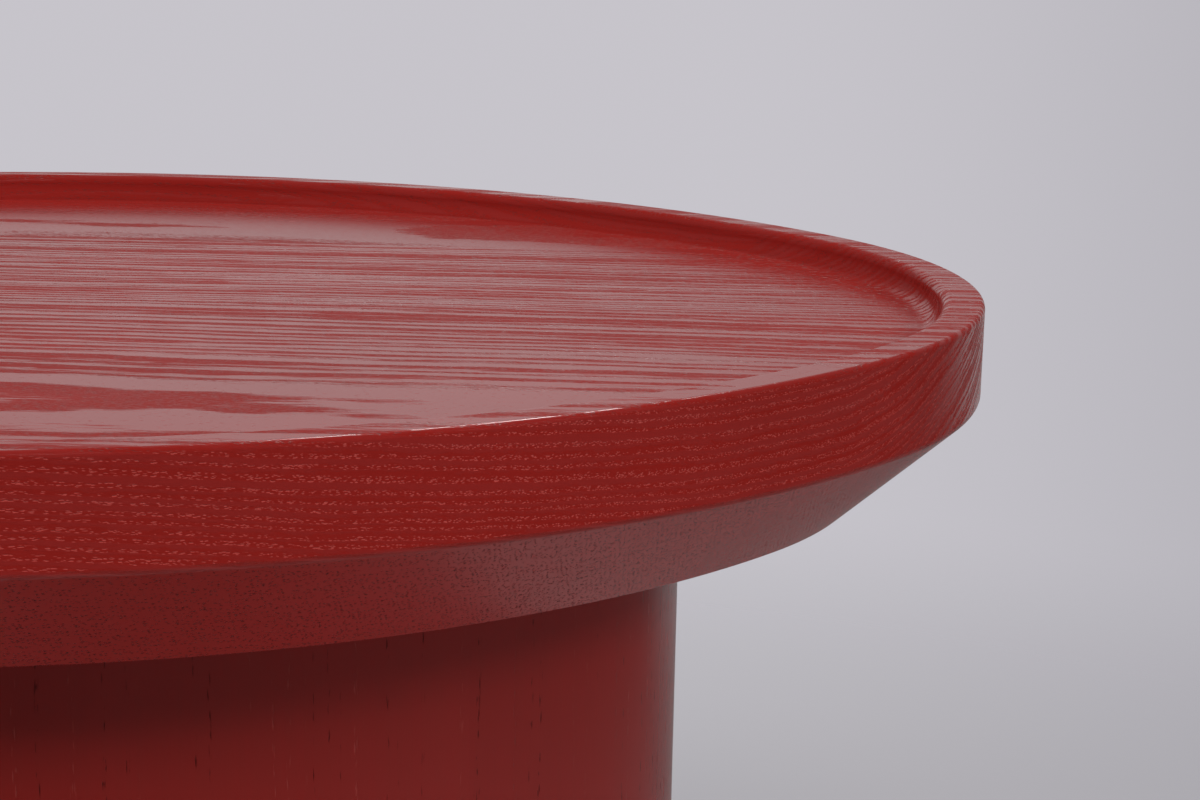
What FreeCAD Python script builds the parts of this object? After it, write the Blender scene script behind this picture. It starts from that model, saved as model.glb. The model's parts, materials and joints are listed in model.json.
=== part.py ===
import FreeCAD
import Part

import math
import os
from collections import namedtuple

# Oval side table: a dished top of edge-glued ash boards, screwed down on a coopered oval drum.
# Millimetres, +Z up. The origin is on the floor under the middle of the table. +X runs along the
# grain of the top, which is the table's long way.

# Outline of the top. An oval is four arcs, tangent where they meet, and its side arcs follow from
# its length, its width and the radius of its end arcs.
table_height = 450.0
top_length = 600.0
top_width = 480.0
top_end_radius = 180.0

# Section of the top
top_thickness = 60.0
edge_height = 28.0  # upright edge, above the chamfer
chamfer_inset = 36.0  # from the edge in to the flat underside
rim_width = 13.0
tray_depth = 9.0
cove_radius = 7.0  # at the foot of the tray's wall
rim_outer_ease = 1.0  # bevels that take off the sharp arrises
rim_inner_ease = 0.7
edge_low_ease = 1.2

# Boards of the top and the loose tongues that line up their glue joints
board_count = 4
tongue_thickness = 8.0
tongue_reach = 12.0  # into each board
tongue_stop = 20.0  # from the edge of the flat underside to a tongue's end
groove_gap = 0.5  # glue room round a tongue's long edges and ends

# Drum: staves that are round outside and flat inside, and the head let into their tops
drum_length = 420.0
drum_width = 336.0
drum_end_radius = 126.0
stave_wall = 26.0
stave_lip = 12.0  # what is left outside the head's rebate
end_staves = 3  # on each end arc
side_staves = 9  # on each side arc
foot_ease = 2.0
head_thickness = 18.0
head_gap = 0.2  # between the head's edge and its rebate

# Screws that hold the top, up through slots in the head
screw_radius = 3.0
screw_reach = 28.0  # into a board
screw_flange_radius = 8.0
screw_flange_thickness = 2.0
screw_hex_width = 10.0  # across the flats
screw_hex_height = 4.0
screw_edge = 45.0  # from the drum's inside face to a screw, along X
slot_gap = 0.5  # beside a screw
slot_travel = 6.0  # lets the boards swell and shrink across the grain

# Felt pads that the staves stand on
pad_radius = 10.0
pad_thickness = 4.0
side_pad_angle = 28.0  # either side of the short axis, about a side arc's centre

# Worked out from the sizes above
UP = FreeCAD.Vector(0.0, 0.0, 1.0)
underside = table_height - top_thickness
edge_low = table_height - edge_height
tray_floor = table_height - tray_depth
cove = min(cove_radius, tray_depth - 2 * rim_inner_ease)
board_width = top_width / board_count
head_low = underside - head_thickness

Arc = namedtuple("Arc", "x y radius start sweep")


def oval(length, width, end_radius):
    """The four arcs of an oval: +X end, +Y side, -X end and -Y side."""
    end_x = length / 2 - end_radius
    half_width = width / 2
    side_radius = (end_x**2 + half_width**2 - end_radius**2) / (2 * (half_width - end_radius))
    side_y = side_radius - half_width
    join = math.atan2(side_y, end_x)
    return (
        Arc(end_x, 0.0, end_radius, -join, 2 * join),
        Arc(0.0, -side_y, side_radius, join, math.pi - 2 * join),
        Arc(-end_x, 0.0, end_radius, math.pi - join, 2 * join),
        Arc(0.0, side_y, side_radius, math.pi + join, math.pi - 2 * join),
    )


TOP = oval(top_length, top_width, top_end_radius)
DRUM = oval(drum_length, drum_width, drum_end_radius)


def half_chord(outline, inset, y):
    """Half the length along X of a drawn-in oval, at a distance y from its long axis."""
    end, side = outline[:2]
    end_radius = end.radius - inset
    if abs(y) < end_radius * math.sin(end.sweep / 2):
        return end.x + math.sqrt(end_radius**2 - y**2)
    return math.sqrt(max(0.0, (side.radius - inset) ** 2 - (abs(y) - side.y) ** 2))


def arc_spot(arc, inset, turn):
    """The place on a drawn-in arc that is a given turn from its middle."""
    angle = arc.start + arc.sweep / 2 + turn
    radius = arc.radius - inset
    return arc.x + radius * math.cos(angle), arc.y + radius * math.sin(angle)


def arc_edge(arc, inset, z):
    """A drawn-in arc as an edge at one height."""
    circle = Part.Circle(FreeCAD.Vector(arc.x, arc.y, z), UP, arc.radius - inset)
    return Part.ArcOfCircle(circle, arc.start, arc.start + arc.sweep).toShape()


def oval_prism(outline, inset, low, high):
    """An upright block of a drawn-in oval."""
    wire = Part.Wire([arc_edge(arc, inset, low) for arc in outline])
    return Part.Face(wire).extrude(UP * (high - low))


def round_bar(radius, spot, low, high):
    """An upright cylinder, which is also what a drilled hole takes away."""
    return Part.makeCylinder(radius, high - low, FreeCAD.Vector(*spot, low), UP)


def near_cut(piece, cuts):
    """A piece less those cuts that reach it."""
    near = [cut for cut in cuts if piece.BoundBox.intersect(cut.BoundBox)]
    return piece.cut(near) if near else piece


def rim_section(arc, panel_inset):
    """The section of the rim, out from an arc's centre: straights, eased arrises and the cove."""

    def at(inset, z):
        return FreeCAD.Vector(arc.x + arc.radius - inset, arc.y, z)

    drop = edge_low - underside
    ease = edge_low_ease / math.hypot(chamfer_inset, drop)
    cove_middle = cove * (1.0 - math.sqrt(0.5))
    wall_foot = at(rim_width, tray_floor + cove)
    cove_foot = at(rim_width + cove, tray_floor)
    straights = [
        cove_foot,
        at(panel_inset, tray_floor),
        at(panel_inset, underside),
        at(chamfer_inset, underside),
        at(chamfer_inset * ease, edge_low - drop * ease),
        at(0.0, edge_low + edge_low_ease),
        at(0.0, table_height - rim_outer_ease),
        at(rim_outer_ease, table_height),
        at(rim_width - rim_inner_ease, table_height),
        at(rim_width, table_height - rim_inner_ease),
        wall_foot,
    ]
    edges = [Part.makeLine(start, end) for start, end in zip(straights, straights[1:])]
    middle = at(rim_width + cove_middle, tray_floor + cove_middle)
    edges.append(Part.Arc(wall_foot, middle, cove_foot).toShape())
    return Part.Face(Part.Wire(edges))


def dished_top():
    """The whole top: a flat panel and the rim's section swept round each arc of the outline."""
    panel_inset = chamfer_inset + rim_width + cove
    rim = []
    for arc in TOP:
        section = rim_section(arc, panel_inset)
        centre = FreeCAD.Vector(arc.x, arc.y, 0.0)
        section.rotate(centre, UP, math.degrees(arc.start))
        rim.append(section.revolve(centre, UP, math.degrees(arc.sweep)))
    panel = oval_prism(TOP, panel_inset, underside, tray_floor)
    return panel.fuse(rim).removeSplitter()


def board_centres():
    """The boards' middle lines, from front to back."""
    first = (board_width - top_width) / 2
    return [first + number * board_width for number in range(board_count)]


def joint_lines():
    """The glue joints between boards, from front to back."""
    return [centre + board_width / 2 for centre in board_centres()[:-1]]


def tongue_block(y, growth):
    """A tongue at one glue joint, or its groove where it is grown by the glue room."""
    half_length = half_chord(TOP, chamfer_inset, y) - tongue_stop + growth
    reach = tongue_reach + growth
    low = (underside + tray_floor - tongue_thickness) / 2
    corner = FreeCAD.Vector(-half_length, y - reach, low)
    return Part.makeBox(2 * half_length, 2 * reach, tongue_thickness, corner)


def screw_spots():
    """Two screws on the middle line of each board that lies over the drum's inside."""
    spots = []
    for y in board_centres():
        x = half_chord(DRUM, stave_wall, y) - screw_edge
        if x > screw_flange_radius:
            spots += [(-x, y), (x, y)]
    return spots


def top_boards():
    """The boards: slices of the dished top with grooves and screw holes."""
    top = dished_top()
    hole_high = underside + screw_reach
    cuts = [tongue_block(y, groove_gap) for y in joint_lines()]
    cuts += [round_bar(screw_radius, spot, underside, hole_high) for spot in screw_spots()]
    boards = []
    for centre in board_centres():
        corner = FreeCAD.Vector(-top_length / 2, centre - board_width / 2, underside)
        slab = Part.makeBox(top_length, board_width, top_thickness, corner)
        boards.append(near_cut(top.common(slab), cuts))
    return boards


def stave_arcs():
    """The stretch of the drum's oval that each stave takes up, anticlockwise from the +X end."""
    arcs = []
    for arc, count in zip(DRUM, (end_staves, side_staves, end_staves, side_staves)):
        step = arc.sweep / count
        arcs += [arc._replace(start=arc.start + number * step, sweep=step) for number in range(count)]
    return arcs


def drum_staves():
    """The staves: round outside, flat inside, mitred to each other and rebated for the head."""
    rebate = oval_prism(DRUM, stave_lip, head_low, underside)
    staves = []
    for arc in stave_arcs():
        face = arc_edge(arc, 0.0, pad_thickness)
        back = arc_edge(arc, stave_wall, pad_thickness)
        outer = [vertex.Point for vertex in face.Vertexes]
        inner = [vertex.Point for vertex in back.Vertexes]
        sides = Part.makePolygon([outer[1], inner[1], inner[0], outer[0]]).Edges
        stave = Part.Face(Part.Wire([face] + sides)).extrude(UP * (underside - pad_thickness))
        foot = [edge for edge in stave.Edges if edge.Curve.TypeId == "Part::GeomCircle"]
        foot = min(foot, key=lambda edge: edge.CenterOfMass.z)
        staves.append(stave.makeChamfer(foot_ease, [foot]).cut(rebate))
    return staves


def drum_head():
    """The plate let into the drum's top, slotted across the grain for the screws."""
    radius = screw_radius + slot_gap
    half_travel = slot_travel / 2
    cuts = []
    for x, y in screw_spots():
        ends = (y - half_travel, y + half_travel)
        cuts += [round_bar(radius, (x, end), head_low, underside) for end in ends]
        corner = FreeCAD.Vector(x - radius, y - half_travel, head_low)
        cuts.append(Part.makeBox(2 * radius, slot_travel, head_thickness, corner))
    return oval_prism(DRUM, stave_lip + head_gap, head_low, underside).cut(cuts)


def top_screw(spot):
    """A wood screw with a flanged hexagon head, head down."""
    flange_low = head_low - screw_flange_thickness
    corner_radius = screw_hex_width / math.sqrt(3.0)
    corners = []
    for side in range(7):
        turn = side * math.pi / 3
        x = spot[0] + corner_radius * math.cos(turn)
        y = spot[1] + corner_radius * math.sin(turn)
        corners.append(FreeCAD.Vector(x, y, flange_low))
    hexagon = Part.Face(Part.makePolygon(corners)).extrude(UP * -screw_hex_height)
    flange = round_bar(screw_flange_radius, spot, flange_low, head_low)
    shank = round_bar(screw_radius, spot, head_low, underside + screw_reach)
    return flange.fuse([hexagon, shank])


def pad_spots():
    """A pad under each end of the drum and two under each side, on the middle of the wall."""
    swing = math.radians(side_pad_angle)
    plus_end, plus_side, minus_end, minus_side = DRUM
    spots = [arc_spot(arc, stave_wall / 2, 0.0) for arc in (plus_end, minus_end)]
    for arc in (plus_side, minus_side):
        spots += [arc_spot(arc, stave_wall / 2, turn) for turn in (-swing, swing)]
    return spots


def all_parts():
    """Every node's name and shape. Like pieces share a node as separate solids."""
    parts = {}
    for number, board in enumerate(top_boards(), 1):
        parts[f"top_board_{number}"] = board
    for number, y in enumerate(joint_lines(), 1):
        parts[f"board_tongue_{number}"] = tongue_block(y, 0.0)
    for number, stave in enumerate(drum_staves(), 1):
        parts[f"drum_stave_{number:02d}"] = stave
    parts["drum_head"] = drum_head()
    parts["top_screws"] = Part.makeCompound([top_screw(spot) for spot in screw_spots()])
    pads = [round_bar(pad_radius, spot, 0.0, pad_thickness) for spot in pad_spots()]
    parts["felt_pads"] = Part.makeCompound(pads)
    return parts


os.makedirs("parts", exist_ok=True)
for name, shape in all_parts().items():
    shape.exportStep(f"parts/{name}.step")
    print(name, len(shape.Solids), shape.isValid(), round(shape.Volume))
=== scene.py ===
import json
import math
import random

import bmesh
import bpy
import numpy as np
from mathutils import Matrix, Vector


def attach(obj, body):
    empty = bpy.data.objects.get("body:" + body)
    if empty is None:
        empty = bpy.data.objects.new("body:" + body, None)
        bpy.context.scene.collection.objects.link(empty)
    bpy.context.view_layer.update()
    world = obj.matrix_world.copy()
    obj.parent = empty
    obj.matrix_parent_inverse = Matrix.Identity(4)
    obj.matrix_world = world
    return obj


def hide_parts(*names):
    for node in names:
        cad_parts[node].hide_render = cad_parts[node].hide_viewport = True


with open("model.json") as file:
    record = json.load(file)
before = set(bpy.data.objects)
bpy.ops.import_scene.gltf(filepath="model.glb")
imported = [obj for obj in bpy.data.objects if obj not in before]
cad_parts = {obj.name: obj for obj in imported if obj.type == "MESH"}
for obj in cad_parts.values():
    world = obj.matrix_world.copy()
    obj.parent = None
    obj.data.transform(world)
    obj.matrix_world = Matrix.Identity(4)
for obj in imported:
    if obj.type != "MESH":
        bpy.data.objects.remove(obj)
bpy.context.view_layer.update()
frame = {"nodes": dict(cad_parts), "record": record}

nodes = frame["nodes"]
scene = bpy.context.scene
MM = 0.001

# Sizes of the part, in millimetres. An oval is its length, its width and its ends' radius.
TOP = (600.0, 480.0, 180.0)
DRUM = (420.0, 336.0, 126.0)
HEIGHT = 450.0
TRAY = 441.0
EDGE_LOW = 422.0  # where the upright edge meets the chamfer
UNDERSIDE = 390.0
HEAD_LOW = 372.0  # the floor of the rebate for the drum's head
FOOT = 4.0
CHAMFER_INSET = 36.0
RIM = 13.0
PANEL_INSET = 62.0  # where the swept section ends
BOARD_JOINTS = (-120.0, 0.0, 120.0)
STAVE_WALL = 26.0
STAVE_LIP = 12.0  # what the rebate leaves of the wall
STAVES = (3, 9, 3, 9)  # on each arc of the drum, from the +X end

# Radii of the arrises and the cove, in millimetres
UNDERSIDE_ROUND = 1.5
EDGE_LOW_ROUND = 2.6
RIM_OUTER_ROUND = 1.6
RIM_INNER_ROUND = 3.2
COVE = 5.6
FOOT_ROUND = 2.0

# Fineness of the meshes
RING_STEP = 5.0  # millimetres round the top's outline
ROUND_STEP = 9.0  # degrees round a corner of the top's section
FOOT_STEPS = 4
STAVE_STEPS = 10
CUT_TOLERANCE = 1e-7  # metres
JOINT_TOLERANCE = 1e-3  # millimetres

# Each board's grain, in millimetres: where its flattest rings lie (y, z), how they lean in
# degrees, how widely they are spread, their rise along the grain, and where the figure starts
# along the grain and across the rings. Boards 1 and 2 show one unbroken figure.
MATCHED = {
    "centre": (-133.0, 439.0), "lean": 0.0, "spread": 1.0,
    "rise": -0.008, "shift": 120.0, "start": -0.45,
}
BOARD_GRAIN = (
    MATCHED,
    MATCHED,
    {
        "centre": (60.0, 500.0), "lean": 62.0, "spread": 1.35,
        "rise": -0.006, "shift": 910.0, "start": 0.0,
    },
    {
        "centre": (165.0, 440.0), "lean": 0.0, "spread": 1.2,
        "rise": 0.007, "shift": 1730.0, "start": 0.0,
    },
)
RING_SHIFT = 0.37  # across the rings for each millimetre along the grain
BAND_FADE = 1.6  # how fast bands of gloss go as a face turns down
GLINT_FADE = 1.4  # how fast the pores' painted glint gives way to painted shade as the edge turns up or down
GLINT_ELSEWHERE = 0.2  # the share of painted glint, against painted shade, in the pores of the banded faces

# The staves' grain: the range that each value is drawn from, and what all of them share
GRAIN_SEED = 11
STAVE_LEAN = (-40.0, 40.0)
STAVE_RINGS = (100.0, 900.0)
STAVE_SLOPE = (-0.006, 0.006)
STAVE_START = (0.0, 3000.0)
STAVE_RING_SCALE = 0.55  # below one, the rings are wider than the boards'
STAVE_HEART = 20.0  # where the flattest rings lie, in from the outside
STAVE_STRETCH = 2.4  # above one, the pores are longer than the boards'

# The ash's growth rings, in millimetres
RING_WIDTH = 2.3
RING_DRIFT = 8.0  # over which the rings' width changes
RING_UNEVEN = 3.0  # rings
BOW_END = 36.0  # where the rings' bow runs out straight, to the right of the heart
BOW_RIGHT = 0.0055  # for each square millimetre along the rings
BOW_LEFT = 0.0016
SLOW_HEIGHT = 6.0
QUICK_HEIGHT = 1.7

# Sizes in the ash, in millimetres along the grain, along the rings and across the rings
SLOW_WAVE = (280.0, 70.0, 70.0)
QUICK_WAVE = (46.0, 12.0, 12.0)
PATCH = (190.0, 34.0, 12.0)
FEATHER = (20.0, 1.1, 0.7)
BREAK = (48.0, 7.0, 1.2)
PORE = (2.3, 0.43, 0.36)
PORE_WANDER = (1.3, 0.9, 0.9)
LATE_PORE = (3.0, 1.3, 1.3)
FIBRE = (16.0, 0.32, 0.32)
CLOUD = (170.0, 45.0, 45.0)

# The ash's colours and gloss
LATE_WOOD = (0.300, 0.0165, 0.0130)
EARLY_WOOD = (0.295, 0.0170, 0.0132)
# Painted light in the pores: painted shade in their hollows, and a painted glint on their lips
PORE_SHADE = (0.035, 0.0025, 0.0022)
PORE_GLINT = (0.70, 0.110, 0.095)
LACQUER_ROUGHNESS = 0.20
LACQUER_SPECULAR = 0.5
DULL_SPECULAR = 0.488  # what a dull ring or pore loses
ASH_DEPTH = 0.09  # of the pores, in millimetres

# The plywood, the screws and the pads
PLY_FIGURE = (90.0, 9.0, 30.0)
PLY_FLECK = (7.0, 0.9, 0.9)
PLY_THICK = 1.4
PLY_PALE, PLY_LIGHT, PLY_EDGE = (0.54, 0.39, 0.24), (0.70, 0.55, 0.37), (0.33, 0.21, 0.12)
ZINC_TINT = (5.0, 5.0, 5.0)
ZINC_MARKS = (0.5, 0.5, 4.0)
ZINC_COOL, ZINC_WARM = (0.56, 0.57, 0.58), (0.67, 0.66, 0.60)
FELT_FIBRE = (0.5, 0.5, 0.3)
FELT_PATCH = (3.0, 3.0, 3.0)
FELT_DARK, FELT_LIGHT = (0.10, 0.082, 0.075), (0.22, 0.185, 0.17)

# The stage. The camera, the gloss and bounced light each meet colours of their own on the floor
# and in the backdrop; pairs run from left to right.
FLOOR_RADIUS = 8.0
FLOOR_SEGMENTS = 96
FLOOR_FADE = (0.65, 1.5)  # metres from the middle, over which the backdrop takes over
FLOOR_SEEN = ((0.58, 0.566, 0.600), (0.45, 0.437, 0.470))
FLOOR_MIRRORED = ((0.62, 0.62, 0.63), (0.24, 0.24, 0.244))
FLOOR_MIRRORED_FRONT = (0.03, 0.03, 0.03)
FLOOR_BOUNCE = ((0.10, 0.10, 0.102), (0.96, 0.96, 0.97))
FLOOR_BOUNCE_NEAR = 0.44  # round the drum's foot
BACKDROP_SEEN = ((0.570, 0.553, 0.595), (0.40, 0.388, 0.425))
BACKDROP_MIRRORED = ((0.59, 0.59, 0.60), (0.44, 0.44, 0.45))
STUDIO_MIRRORED = (0.09, 0.09, 0.092)  # all round the backdrop
STUDIO_LOW, STUDIO_HIGH = (0.02, 0.02, 0.02), (0.15, 0.15, 0.152)

# Each lamp's name, place, target, size, level at the target, and whether the gloss shows it
LAMPS = (
    ("front", (-0.3, -2.0, 2.45), (0.05, -0.1, 0.43), (2.0, 1.0), 0.62, False),
    ("key", (0.374, 1.48, 2.13), (0.05, -0.1, 0.45), (0.8, 0.36), 0.30, True),
    ("fill", (1.95, -0.95, 1.66), (0.05, -0.1, 0.38), (0.8, 0.5), 0.23, False),
    ("rear", (-1.8, 0.9, 1.4), (-0.05, 0.1, 0.35), (1.0, 0.6), 0.21, False),
)

# The camera, fitted to the photograph's edges
CAMERA_PLACE = (0.19540, -0.72757, 0.57261)
CAMERA_TURN = (-0.857, 12.384, 1.144)  # yaw, pitch down and roll, in degrees
FOCAL_PIXELS = 2405.0
PICTURE_PIXELS = 1200.0
SENSOR = 36.0
CLIP = (0.02, 60.0)


def oval(length, width, end_radius):
    """Four tangent arcs as (centre x, centre y, radius, start, sweep), from the +X end."""
    ex = length / 2 - end_radius
    half = width / 2
    side = (ex**2 + half**2 - end_radius**2) / (2 * (half - end_radius))
    sy = side - half
    join = math.atan2(sy, ex)
    return (
        (ex, 0.0, end_radius, -join, 2 * join),
        (0.0, -sy, side, join, math.pi - 2 * join),
        (-ex, 0.0, end_radius, math.pi - join, 2 * join),
        (0.0, sy, side, math.pi + join, math.pi - 2 * join),
    )


def stations(arcs, step):
    """Points round an oval with their outward directions, about a step apart."""
    found = []
    for cx, cy, radius, start, sweep in arcs:
        count = 2 * max(1, round(sweep * radius / step / 2))
        for number in range(count):
            angle = start + sweep * number / count
            nx, ny = math.cos(angle), math.sin(angle)
            found.append((cx + radius * nx, cy + radius * ny, nx, ny))
    return np.array(found)


def inset_of(arcs, xy):
    """How far in from an oval each point is, and the outward direction there."""
    x, y = xy[:, 0], xy[:, 1]
    ex, _, end_radius, start, _ = arcs[0]
    _, sy, side_radius, _, _ = arcs[3]
    flat = np.abs(x) - ex
    at_end = (flat > 0) & (np.abs(np.arctan2(np.abs(y), flat)) <= -start)
    cx = np.where(at_end, np.sign(x) * ex, 0.0)
    cy = np.where(at_end, 0.0, -np.sign(y) * sy)
    radius = np.where(at_end, end_radius, side_radius)
    dx, dy = x - cx, y - cy
    reach = np.maximum(np.hypot(dx, dy), 1e-9)
    return radius - reach, np.stack([dx / reach, dy / reach], axis=1)


def rounded(corners, degrees_a_step):
    """A section's (inset, z) points and outward normals, its corners rounded by their radii."""
    points, normals = [], []
    flats = [np.subtract(b[:2], a[:2]) for a, b in zip(corners, corners[1:])]
    flats = [flat / np.linalg.norm(flat) for flat in flats]
    outward = [np.array((-flat[1], flat[0])) for flat in flats]
    points.append(np.array(corners[0][:2]))
    normals.append(outward[0])
    for number, (inset, z, radius) in enumerate(corners[1:-1]):
        before, after = flats[number], flats[number + 1]
        first = outward[number]
        cross = before[0] * after[1] - before[1] * after[0]
        turn = math.atan2(cross, before @ after)
        start = np.array((inset, z)) - before * radius * math.tan(abs(turn) / 2)
        side = -1.0 if turn < 0 else 1.0
        centre = start + first * radius * side
        count = max(2, math.ceil(math.degrees(abs(turn)) / degrees_a_step))
        for part in range(count + 1):
            angle = turn * part / count
            c, s = math.cos(angle), math.sin(angle)
            normal = np.array((c * first[0] - s * first[1], s * first[0] + c * first[1]))
            points.append(centre - normal * radius * side)
            normals.append(normal)
    points.append(np.array(corners[-1][:2]))
    normals.append(outward[-1])
    return np.array(points), np.array(normals)


TOP_ARCS = oval(*TOP)
SECTION, SECTION_NORMALS = rounded(
    (
        (PANEL_INSET, UNDERSIDE, 0.0),
        (CHAMFER_INSET, UNDERSIDE, UNDERSIDE_ROUND),
        (0.0, EDGE_LOW, EDGE_LOW_ROUND),
        (0.0, HEIGHT, RIM_OUTER_ROUND),
        (RIM, HEIGHT, RIM_INNER_ROUND),
        (RIM, TRAY, COVE),
        (PANEL_INSET, TRAY, 0.0),
    ),
    ROUND_STEP,
)


def new_piece(name, mesh, slot, *replaced):
    """Puts a mesh in the scene in place of nodes of the CAD."""
    piece = bpy.data.objects.new(name, mesh)
    scene.collection.objects.link(piece)
    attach(piece, "root")
    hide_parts(*replaced)


def coordinates(mesh):
    """A mesh's points, in millimetres."""
    found = np.empty(len(mesh.vertices) * 3, np.float32)
    mesh.vertices.foreach_get("co", found)
    return found.reshape(-1, 3).astype(float) / MM


def put_grain(mesh, values, light, plain, banded):
    """Each point's place in the grain, in millimetres, and its look.

    The look is the open pores' share of painted glint against painted shade, how plain the wood
    is, and how far its rings differ in gloss.
    """
    looks = np.stack([light, np.full(len(light), plain), banded], axis=1)
    for name, data in (("grain", values), ("look", looks)):
        attribute = mesh.attributes.new(name, "FLOAT_VECTOR", "POINT")
        attribute.data.foreach_set("vector", np.asarray(data, np.float32).ravel())


def whole_top():
    """The dished top as one closed mesh: its section swept round the oval."""
    ring = stations(TOP_ARCS, RING_STEP)
    count, rows = len(ring), len(SECTION)
    plan = ring[:, None, :2] - SECTION[None, :, :1] * ring[:, None, 2:]
    high = np.broadcast_to(SECTION[None, :, 1:], (count, rows, 1))
    verts = np.concatenate([plan, high], axis=2).reshape(-1, 3) * MM
    faces = []
    for number in range(count):
        a, b = number * rows, (number + 1) % count * rows
        for row in range(rows - 1):
            faces.append((a + row, b + row, b + row + 1, a + row + 1))
    faces.append([a * rows + rows - 1 for a in range(count)])
    faces.append([a * rows for a in reversed(range(count))])
    mesh = bpy.data.meshes.new("whole_top")
    mesh.from_pydata([tuple(v) for v in verts], [], faces)
    return mesh


def top_normals(points):
    """The outward normal of the dished top at points on its surface, in millimetres."""
    inset, out = inset_of(TOP_ARCS, points[:, :2])
    at = np.stack([inset, points[:, 2]], axis=1)
    start, end = SECTION[:-1], SECTION[1:]
    along = end - start
    share = ((at[:, None] - start[None]) * along[None]).sum(2) / (along**2).sum(1)[None]
    share = np.clip(share, 0.0, 1.0)
    near = start[None] + share[..., None] * along[None]
    best = ((at[:, None] - near) ** 2).sum(2).argmin(1)
    part = share[np.arange(len(best)), best][:, None]
    flat = SECTION_NORMALS[:-1][best] * (1 - part) + SECTION_NORMALS[1:][best] * part
    normal = np.concatenate([-out * flat[:, :1], flat[:, 1:]], axis=1)
    return normal / np.linalg.norm(normal, axis=1)[:, None]


def board_mesh(name, whole, low, high):
    """The slice of the top between two glue joints, with the joints' faces closed."""
    bm = bmesh.new()
    bm.from_mesh(whole)
    for y, cleared in ((low, "clear_inner"), (high, "clear_outer")):
        if y is None:
            continue
        bmesh.ops.bisect_plane(
            bm,
            geom=bm.verts[:] + bm.edges[:] + bm.faces[:],
            dist=CUT_TOLERANCE,
            plane_co=(0, y * MM, 0),
            plane_no=(0, 1, 0),
            **{cleared: True},
        )
        bmesh.ops.edgeloop_fill(bm, edges=[edge for edge in bm.edges if edge.is_boundary])
    bmesh.ops.recalc_face_normals(bm, faces=bm.faces[:])
    mesh = bpy.data.meshes.new(name)
    bm.to_mesh(mesh)
    bm.free()
    points = coordinates(mesh)
    normals = top_normals(points)
    joints = [y for y in (low, high) if y is not None]
    loop_normals = np.empty((len(mesh.loops), 3))
    for face in mesh.polygons:
        face.use_smooth = True
        ys = points[list(face.vertices), 1]
        joint = any(np.abs(ys - y).max() < JOINT_TOLERANCE for y in joints)
        for loop, vertex in zip(face.loop_indices, face.vertices):
            loop_normals[loop] = face.normal if joint else normals[vertex]
    mesh.normals_split_custom_set([tuple(n) for n in loop_normals])
    return mesh


def stave_rows():
    """A stave's section, and the normals of the strips that follow its rows.

    A row is its inset from the round outside, or None on the flat inside, and its height. A
    strip has two normals, each as its share outward and its share upward. The last strip, up
    the flat inside, isn't among them.
    """
    foot, turned = [], []
    for part in range(FOOT_STEPS + 1):
        angle = math.pi / 2 * part / FOOT_STEPS
        c, s = math.cos(angle), math.sin(angle)
        foot.append(((1 - s) * FOOT_ROUND, FOOT + (1 - c) * FOOT_ROUND))
        turned.append((s, -c))
    rows = [
        (None, FOOT),
        *foot,
        (0.0, UNDERSIDE),
        (STAVE_LIP, UNDERSIDE),
        (STAVE_LIP, HEAD_LOW),
        (None, HEAD_LOW),
    ]
    down, out, up, inward = (0.0, -1.0), (1.0, 0.0), (0.0, 1.0), (-1.0, 0.0)
    strips = [
        (down, down),
        *zip(turned, turned[1:]),
        (out, out),
        (up, up),
        (inward, inward),
        (up, up),
    ]
    return rows, strips


def stave_mesh(name, cx, cy, radius, start, sweep):
    """One stave: round outside, flat inside, rebated at the top and rounded at the foot."""
    rows, strips = stave_rows()
    count = len(rows)
    centre = np.array((cx, cy))
    inner = [
        centre + (radius - STAVE_WALL) * np.array((math.cos(angle), math.sin(angle)))
        for angle in (start, start + sweep)
    ]
    verts, grid = [], []
    for number in range(STAVE_STEPS + 1):
        share = number / STAVE_STEPS
        angle = start + sweep * share
        out = np.array((math.cos(angle), math.sin(angle)))
        chord = inner[0] * (1 - share) + inner[1] * share
        grid.append((range(len(verts), len(verts) + count), out))
        for inset, z in rows:
            xy = chord if inset is None else centre + out * (radius - inset)
            verts.append((*(xy * MM), z * MM))
    middle = start + sweep / 2
    back = (-math.cos(middle), -math.sin(middle), 0.0)
    faces, loops = [], []
    for (a, out_a), (b, out_b) in zip(grid, grid[1:]):
        for row in range(count):
            following = (row + 1) % count
            faces.append((a[row], b[row], b[following], a[following]))
            if row == len(strips):
                loops += [back] * 4
                continue
            near, far = strips[row]
            corners = ((out_a, near), (out_b, near), (out_b, far), (out_a, far))
            loops += [(*(out * outward), upward) for out, (outward, upward) in corners]
    for (line, out), turn in ((grid[0], -1), (grid[-1], 1)):
        faces.append(list(reversed(line)) if turn > 0 else list(line))
        loops += [(-out[1] * turn, out[0] * turn, 0.0)] * count
    mesh = bpy.data.meshes.new(name)
    mesh.from_pydata(verts, [], faces)
    for face in mesh.polygons:
        face.use_smooth = True
    mesh.normals_split_custom_set(loops)
    return mesh


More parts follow.
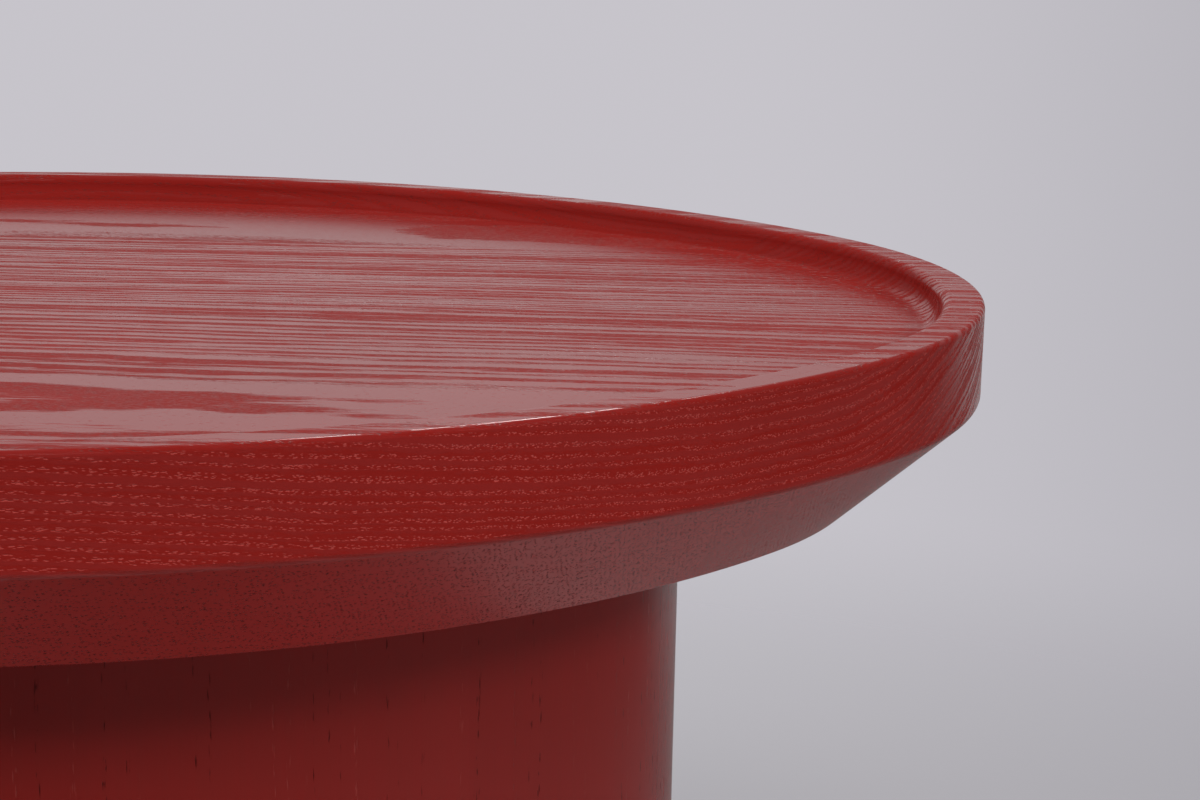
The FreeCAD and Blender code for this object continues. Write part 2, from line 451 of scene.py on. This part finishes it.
class Graph:
    """Short names for building a tree of shader nodes."""

    def __init__(self, tree):
        self.tree = tree

    def put(self, socket, value):
        if isinstance(value, bpy.types.NodeSocket):
            self.tree.links.new(value, socket)
        else:
            socket.default_value = value

    def node(self, kind, inputs=None, **settings):
        made = self.tree.nodes.new(kind)
        for key, value in settings.items():
            setattr(made, key, value)
        for key, value in (inputs or {}).items():
            self.put(made.inputs[key], value)
        return made

    def math(self, operation, *values, clamp=False):
        made = self.node("ShaderNodeMath", operation=operation, use_clamp=clamp)
        for socket, value in zip(made.inputs, values):
            self.put(socket, value)
        return made.outputs[0]

    def chain(self, operation, values):
        total = values[0]
        for value in values[1:]:
            total = self.math(operation, total, value)
        return total

    def add(self, *values):
        return self.chain("ADD", values)

    def times(self, *values):
        return self.chain("MULTIPLY", values)

    def less(self, value, taken):
        return self.math("SUBTRACT", value, taken)

    def rest(self, share, clamp=False):
        """What a share leaves of one."""
        return self.math("SUBTRACT", 1.0, share, clamp=clamp)

    def most(self, first, second):
        return self.math("MAXIMUM", first, second)

    def least(self, first, second):
        return self.math("MINIMUM", first, second)

    def split(self, vector):
        return self.node("ShaderNodeSeparateXYZ", {"Vector": vector}).outputs[:3]

    def join(self, x, y, z):
        return self.node("ShaderNodeCombineXYZ", {"X": x, "Y": y, "Z": z}).outputs[0]

    def attribute(self, name):
        """The three parts of a mesh's attribute."""
        return self.split(self.node("ShaderNodeAttribute", attribute_name=name).outputs["Vector"])

    def object_place(self):
        """Object coordinates, in millimetres."""
        place = self.node("ShaderNodeTexCoord").outputs["Object"]
        return [self.times(part, 1.0 / MM) for part in self.split(place)]

    def scaled(self, parts, sizes):
        return self.join(*[self.times(part, 1.0 / size) for part, size in zip(parts, sizes)])

    def noise(self, vector, detail=1.0, roughness=0.5):
        """Noise about nought."""
        inputs = {"Vector": vector, "Scale": 1.0, "Detail": detail, "Roughness": roughness}
        made = self.node("ShaderNodeTexNoise", inputs, noise_dimensions="3D")
        return self.less(made.outputs[0], 0.5)

    def speckle(self, parts, sizes, detail=1.0, roughness=0.5):
        """Noise about nought, of a size in each direction."""
        return self.noise(self.scaled(parts, sizes), detail, roughness)

    def cells(self, parts, sizes):
        """Cells of a size in each direction: the distance from the middle, and a chance."""
        inputs = {"Vector": self.scaled(parts, sizes), "Scale": 1.0}
        made = self.node("ShaderNodeTexVoronoi", inputs, voronoi_dimensions="3D")
        return made.outputs["Distance"], self.split(made.outputs["Color"])[0]

    def ease(self, value, low, high):
        """A smooth step from nought to one."""
        inputs = {"Value": value, "From Min": low, "From Max": high}
        made = self.node("ShaderNodeMapRange", inputs, interpolation_type="SMOOTHSTEP")
        return made.outputs[0]

    def between(self, share, low, high):
        inputs = {"Value": share, "To Min": low, "To Max": high}
        return self.node("ShaderNodeMapRange", inputs).outputs[0]

    def blend(self, share, first, second):
        made = self.node("ShaderNodeMix", data_type="RGBA")
        self.put(made.inputs[0], share)
        for socket, value in ((made.inputs[6], first), (made.inputs[7], second)):
            colour = value if isinstance(value, bpy.types.NodeSocket) else (*value, 1.0)
            self.put(socket, colour)
        return made.outputs[2]

    def shaded(self, colour, shade):
        factors = {0: colour, 1: self.join(shade, shade, shade)}
        return self.node("ShaderNodeVectorMath", factors, operation="MULTIPLY").outputs[0]


class Finish(Graph):
    """A new material's nodes, round its Principled shader."""

    def __init__(self, name):
        self.material = bpy.data.materials.new(name)
        self.material.use_nodes = True
        super().__init__(self.material.node_tree)
        self.shader = self.tree.nodes["Principled BSDF"]

    def set(self, name, value):
        self.put(self.shader.inputs[name], value)

    def done(self, colour, roughness, height, depth):
        """Links colour and roughness, and a height in shares of a depth in millimetres."""
        self.set("Base Color", colour)
        self.set("Roughness", roughness)
        inputs = {"Height": height, "Strength": 1.0, "Distance": depth * MM}
        self.set("Normal", self.node("ShaderNodeBump", inputs).outputs[0])
        return self.material


def ash_rings(g, u, v, w):
    """The place across the rings, the phase within a ring, and each ring's own chance."""
    slow = g.speckle((u, v, w), SLOW_WAVE)
    quick = g.speckle((u, v, w), QUICK_WAVE, detail=2.0)
    right, left = g.most(v, 0.0), g.least(v, 0.0)
    bend = g.least(right, BOW_END)
    bow = g.add(
        g.times(bend, g.less(g.times(right, 2.0), bend), BOW_RIGHT),
        g.times(left, left, BOW_LEFT),
    )
    radius = g.add(g.less(w, bow), g.times(slow, SLOW_HEIGHT), g.times(quick, QUICK_HEIGHT))
    uneven = g.noise(g.join(g.times(radius, 1 / RING_DRIFT), 3.7, 1.9), detail=2.0)
    turn = g.add(g.times(radius, 1 / RING_WIDTH), g.times(uneven, RING_UNEVEN))
    ring = g.math("FLOOR", turn)
    chance = g.node("ShaderNodeTexWhiteNoise", {"W": ring}, noise_dimensions="1D")
    return radius, g.math("FRACT", turn), chance.outputs["Value"]


def early_wood(g, place, phase, chance, feather):
    """Porous early wood, which takes up more of some rings and ends raggedly."""
    patch = g.speckle(place, PATCH, detail=2.0)
    broken = g.speckle(place, BREAK)
    reach = g.add(g.between(chance, 0.30, 0.95), g.times(patch, 1.5))
    ragged = g.add(phase, g.times(feather, 1.5), g.times(broken, 0.5))
    begun = g.ease(g.add(phase, g.times(feather, 0.35)), 0.0, 0.08)
    return g.times(begun, g.rest(g.ease(g.less(ragged, reach), -0.12, 0.10)))


def open_pores(g, place, phase, chance, feather, plain, strewn):
    """Pores along the grain, in rows; plain wood has few rows, and strewn pores are scattered."""
    u, v, radius = place
    figured = g.rest(plain)
    row = g.add(phase, g.times(feather, 0.25))
    end = g.add(g.between(plain, 0.42, 0.16), g.times(strewn, 0.40))
    rows = g.times(g.ease(row, 0.0, 0.08), g.rest(g.ease(g.less(row, end), 0.0, 0.14)))
    rows = g.times(rows, g.most(figured, g.ease(chance, 0.22, 0.34)))
    wander = g.times(g.speckle(place, PORE_WANDER), g.between(strewn, 0.55, 0.25))
    stretched = (g.times(u, g.add(1.0, strewn)), g.add(v, wander), g.add(radius, wander))
    distance, own_chance = g.cells(stretched, PORE)
    spared = g.add(g.between(plain, 0.06, 0.36), g.times(strewn, 0.36))
    kept = g.ease(g.less(own_chance, spared), 0.0, 0.08)
    return g.times(g.rest(g.ease(distance, 0.08, 0.48)), kept, rows)


def stained_ash():
    """Open-pored ash under a red stain and satin lacquer.

    The grain attribute is in millimetres: along the grain, along the rings and across the rings.
    """
    g = Finish("stained_ash")
    u, v, w = g.attribute("grain")
    # pale is the pores' share of painted glint, against painted shade
    pale, plain, banded = g.attribute("look")
    figured = g.rest(plain)
    strewn = g.times(figured, g.rest(banded))
    radius, phase, chance = ash_rings(g, u, v, w)
    place = (u, v, radius)
    feather = g.speckle(place, FEATHER, detail=3.0, roughness=0.6)
    early = early_wood(g, place, phase, chance, feather)
    pore = open_pores(g, place, phase, chance, feather, plain, strewn)
    lip = g.times(pore, g.rest(pore), 4.0)
    late_pore = g.times(g.rest(g.ease(g.cells(place, LATE_PORE)[0], 0.10, 0.22)), figured)
    fibre = g.times(g.speckle(place, FIBRE, detail=2.0), g.between(plain, 1.0, 0.35))
    cloud = g.speckle((u, v, w), CLOUD, detail=2.0)

    # Pores get a painted glint on their lips and in them where the look says so, and in some
    # rings of plain wood; elsewhere painted shade
    glinting_rings = g.times(plain, 0.55, g.rest(g.ease(chance, 0.50, 0.62)))
    painted_pore_colour = g.blend(g.most(pale, glinting_rings), PORE_SHADE, PORE_GLINT)
    lip_glint = g.add(g.times(lip, 0.44), g.times(pore, 0.40))
    painted_pore_share = g.add(g.times(lip_glint, pale), g.times(pore, 0.85, g.rest(pale)))
    wood = g.blend(painted_pore_share, g.blend(early, LATE_WOOD, EARLY_WOOD), painted_pore_colour)
    # The strewn term lightens the boards' downward-turned faces as painted light; fibre and cloud
    # are the wood's own tone
    shade = g.add(1.0, g.times(fibre, 0.20), g.times(cloud, 0.26), g.times(strewn, 0.25))

    # Early wood and dark pores are duller than the lacquer
    rough = g.add(LACQUER_ROUGHNESS, g.times(early, banded, 0.12), g.times(fibre, 0.05))
    dull = g.times(early, banded, g.rest(g.times(lip, 0.55)))
    dull = g.most(dull, g.times(pore, g.rest(pale)))
    g.set("Specular IOR Level", g.less(LACQUER_SPECULAR, g.times(dull, DULL_SPECULAR)))
    height = g.add(
        g.times(pore, -1.0),
        g.times(early, banded, -0.12),
        g.times(late_pore, -0.25),
        g.times(fibre, 0.10),
    )
    return g.done(g.shaded(wood, shade), rough, height, ASH_DEPTH)


def birch_ply():
    """Sealed birch plywood: pale faces with faint figure, and plies that show at the edges."""
    g = Finish("birch_ply")
    place = g.object_place()
    figure = g.speckle(place, PLY_FIGURE, detail=3.0)
    fleck = g.speckle(place, PLY_FLECK, detail=2.0)
    ply = g.ease(g.math("PINGPONG", g.times(place[2], 1 / PLY_THICK), 1.0), 0.42, 0.58)
    upward = g.split(g.node("ShaderNodeNewGeometry").outputs["Normal"])[2]
    side = g.rest(g.math("ABSOLUTE", upward), clamp=True)
    mottle = g.add(0.5, g.times(figure, 1.4), g.times(fleck, 0.5))
    wood = g.blend(g.times(ply, side, 0.55), g.blend(mottle, PLY_PALE, PLY_LIGHT), PLY_EDGE)
    return g.done(wood, g.add(0.5, g.times(fleck, 0.2)), fleck, 0.05)


def zinc_steel():
    """Bright zinc plate with a faint passivation tint and drawn marks."""
    g = Finish("zinc_steel")
    place = g.object_place()
    tint = g.speckle(place, ZINC_TINT, detail=3.0)
    marks = g.speckle(place, ZINC_MARKS, detail=2.0)
    metal = g.blend(g.add(0.5, g.times(tint, 1.3)), ZINC_COOL, ZINC_WARM)
    g.set("Metallic", 1.0)
    return g.done(metal, g.add(0.32, g.times(marks, 0.2)), marks, 0.01)


def pad_felt():
    """Pressed wool felt with matted fibres."""
    g = Finish("pad_felt")
    place = g.object_place()
    fibre = g.speckle(place, FELT_FIBRE, detail=4.0, roughness=0.65)
    patch = g.speckle(place, FELT_PATCH, detail=2.0)
    mottle = g.add(0.5, g.times(fibre, 0.9), g.times(patch, 0.6))
    g.set("Sheen Weight", 0.3)
    wool = g.blend(mottle, FELT_DARK, FELT_LIGHT)
    return g.done(wool, g.add(0.92, g.times(fibre, 0.1)), fibre, 0.2)


def add_boards(finish):
    """The top's four boards, front to back."""
    whole = whole_top()
    joints = [None, *BOARD_JOINTS, None]
    for number, (low, high, grain) in enumerate(zip(joints, joints[1:], BOARD_GRAIN), 1):
        mesh = board_mesh(f"ash_board_{number}", whole, low, high)
        points = coordinates(mesh)
        lean = math.radians(grain["lean"])
        across = points[:, 1] - grain["centre"][0]
        up = points[:, 2] - grain["centre"][1] + grain["rise"] * points[:, 0]
        u = points[:, 0] + grain["shift"]
        v = (math.cos(lean) * across - math.sin(lean) * up) / grain["spread"]
        w = (math.sin(lean) * across + math.cos(lean) * up) / grain["spread"]
        w = w + grain["shift"] * RING_SHIFT + grain["start"]
        upward = top_normals(points)[:, 2]
        inset = inset_of(TOP_ARCS, points[:, :2])[0]
        banded = np.clip(1.0 + BAND_FADE * upward, 0.0, 1.0)
        # light is the pores' share of painted glint, against painted shade: full on the upright
        # outer edge, fading as it turns up or down, and a little on the banded faces
        at_edge = np.clip(1.0 - GLINT_FADE * np.abs(upward), 0.0, 1.0)
        light = np.where(inset < RIM / 2, at_edge, 0.0)
        light = np.maximum(light, GLINT_ELSEWHERE * banded)
        put_grain(mesh, np.stack([u, v, w], axis=1), light, 0.0, banded)
        mesh.materials.append(finish)
        new_piece(f"ash_board_{number}", mesh, "stained_ash", f"top_board_{number}")
    bpy.data.meshes.remove(whole)


def add_staves(finish):
    """The drum's staves, each with a grain of its own."""
    dice = random.Random(GRAIN_SEED)
    number = 0
    for (cx, cy, radius, start, sweep), count in zip(oval(*DRUM), STAVES):
        step = sweep / count
        for place in range(count):
            number += 1
            first = start + place * step
            middle = first + step / 2
            mesh = stave_mesh(f"ash_stave_{number:02d}", cx, cy, radius, first, step)
            points = coordinates(mesh)
            out = np.array((math.cos(middle), math.sin(middle)))
            plan = points[:, :2] - np.array((cx, cy))
            depth = radius - plan @ out
            along = plan @ np.array((-out[1], out[0]))
            lean = math.radians(dice.uniform(*STAVE_LEAN))
            rings = dice.uniform(*STAVE_RINGS)
            slope = dice.uniform(*STAVE_SLOPE)
            u = points[:, 2] / STAVE_STRETCH + dice.uniform(*STAVE_START)
            v = (math.cos(lean) * depth - math.sin(lean) * along) - STAVE_HEART
            w = (math.cos(lean) * along + math.sin(lean) * depth) * STAVE_RING_SCALE + rings
            w = w + slope * points[:, 2]
            nothing = np.zeros(len(points))
            # The staves' pores get painted shade, with a painted glint only in some rings
            put_grain(mesh, np.stack([u, v, w], axis=1), nothing, 1.0, nothing)
            mesh.materials.append(finish)
            new_piece(f"ash_stave_{number:02d}", mesh, "stained_ash", f"drum_stave_{number:02d}")


def finish_rest():
    """Finishes for the CAD's own pieces that stay."""
    finishes = {"birch_ply": birch_ply(), "zinc_steel": zinc_steel(), "pad_felt": pad_felt()}
    for part in frame["record"]["subparts"]:
        finish = finishes.get(part["material_slot"])
        if finish:
            for slot in nodes[part["node"]].material_slots:
                slot.material = finish


def studio_floor():
    """A wide pale disc whose rim fades into the backdrop."""
    bm = bmesh.new()
    bmesh.ops.create_circle(bm, cap_ends=True, segments=FLOOR_SEGMENTS, radius=FLOOR_RADIUS)
    mesh = bpy.data.meshes.new("floor")
    bm.to_mesh(mesh)
    bm.free()
    floor = bpy.data.objects.new("floor", mesh)
    scene.collection.objects.link(floor)
    g = Finish("floor")
    place = g.node("ShaderNodeTexCoord").outputs["Object"]
    x, y, _ = g.split(place)
    reach = g.node("ShaderNodeVectorMath", {0: place}, operation="LENGTH").outputs["Value"]
    rays = g.node("ShaderNodeLightPath").outputs
    mirrored = g.blend(g.ease(x, -0.1, 0.5), *FLOOR_MIRRORED)
    mirrored = g.blend(g.ease(y, -0.9, -0.3), FLOOR_MIRRORED_FRONT, mirrored)
    near = g.times(g.rest(g.ease(reach, 0.42, 0.70)), FLOOR_BOUNCE_NEAR)
    bounced = g.blend(g.most(near, g.ease(x, -0.1, 0.4)), *FLOOR_BOUNCE)
    seen = g.blend(g.ease(x, 0.1, 0.9), *FLOOR_SEEN)
    colour = g.blend(rays["Is Glossy Ray"], bounced, mirrored)
    colour = g.blend(rays["Is Camera Ray"], colour, seen)
    paper = g.node("ShaderNodeBsdfDiffuse", {"Color": colour}).outputs[0]
    clear = g.node("ShaderNodeBsdfTransparent").outputs[0]
    mix = g.node("ShaderNodeMixShader", {0: g.ease(reach, *FLOOR_FADE), 1: paper, 2: clear})
    g.put(g.tree.nodes["Material Output"].inputs["Surface"], mix.outputs[0])
    g.tree.nodes.remove(g.shader)
    mesh.materials.append(g.material)


def backdrop():
    """A pale backdrop that the camera and the gloss see, and a weaker light from all round."""
    world = bpy.data.worlds.new("studio")
    scene.world = world
    world.use_nodes = True
    g = Graph(world.node_tree)
    g.tree.nodes.clear()
    rays = g.node("ShaderNodeLightPath").outputs
    x, y, z = g.split(g.node("ShaderNodeTexCoord").outputs["Generated"])
    flat = g.math("SQRT", g.add(g.times(x, x), g.times(y, y), 1e-6))
    aside = g.math("DIVIDE", x, flat)
    ahead = g.times(
        g.ease(y, 0.0, 0.2),
        g.ease(aside, -0.46, -0.24),
        g.rest(g.ease(aside, 0.50, 0.78)),
        g.ease(z, -0.45, -0.15),
        g.rest(g.ease(z, 0.28, 0.5)),
    )
    mirrored = g.blend(g.ease(x, -0.10, 0.20), *BACKDROP_MIRRORED)
    mirrored = g.blend(ahead, STUDIO_MIRRORED, mirrored)
    soft = g.blend(g.ease(z, -0.1, 0.3), STUDIO_LOW, STUDIO_HIGH)
    seen = g.blend(g.ease(x, 0.02, 0.45), *BACKDROP_SEEN)
    colour = g.blend(rays["Is Glossy Ray"], soft, mirrored)
    colour = g.blend(rays["Is Camera Ray"], colour, seen)
    light = g.node("ShaderNodeBackground", {"Color": colour, "Strength": 1.0})
    g.node("ShaderNodeOutputWorld", {"Surface": light.outputs[0]})


def softbox(name, place, target, size, level, glossy):
    """A soft light whose level is the share of full light that it gives at the target."""
    light = bpy.data.lights.new(name, "AREA")
    light.shape = "RECTANGLE"
    light.size, light.size_y = size
    away = Vector(place) - Vector(target)
    light.energy = level * math.pi**2 * away.length_squared
    lamp = bpy.data.objects.new(name, light)
    lamp.location = place
    lamp.rotation_mode = "QUATERNION"
    lamp.rotation_quaternion = away.to_track_quat("Z", "Y")
    lamp.visible_camera = False
    lamp.visible_glossy = glossy
    scene.collection.objects.link(lamp)


def add_camera():
    """The camera at the photograph's place and angle."""
    yaw, pitch, roll = (math.radians(angle) for angle in CAMERA_TURN)
    ahead = Vector((
        math.sin(yaw) * math.cos(pitch),
        math.cos(yaw) * math.cos(pitch),
        -math.sin(pitch),
    ))
    level = Vector((math.cos(yaw), -math.sin(yaw), 0.0))
    upright = level.cross(ahead)
    side = level * math.cos(roll) + upright * math.sin(roll)
    upward = upright * math.cos(roll) - level * math.sin(roll)
    lens = bpy.data.cameras.new("camera")
    lens.sensor_width = SENSOR
    lens.lens = SENSOR * FOCAL_PIXELS / PICTURE_PIXELS
    lens.clip_start, lens.clip_end = CLIP
    camera = bpy.data.objects.new("camera", lens)
    turn = Matrix((side, upward, -ahead)).transposed()
    camera.matrix_world = Matrix.Translation(CAMERA_PLACE) @ turn.to_4x4()
    scene.collection.objects.link(camera)
    bpy.context.scene.camera = camera


ash = stained_ash()
add_boards(ash)
add_staves(ash)
finish_rest()
studio_floor()
backdrop()
for lamp in LAMPS:
    softbox(*lamp)
add_camera()
scene.view_settings.view_transform = "Standard"
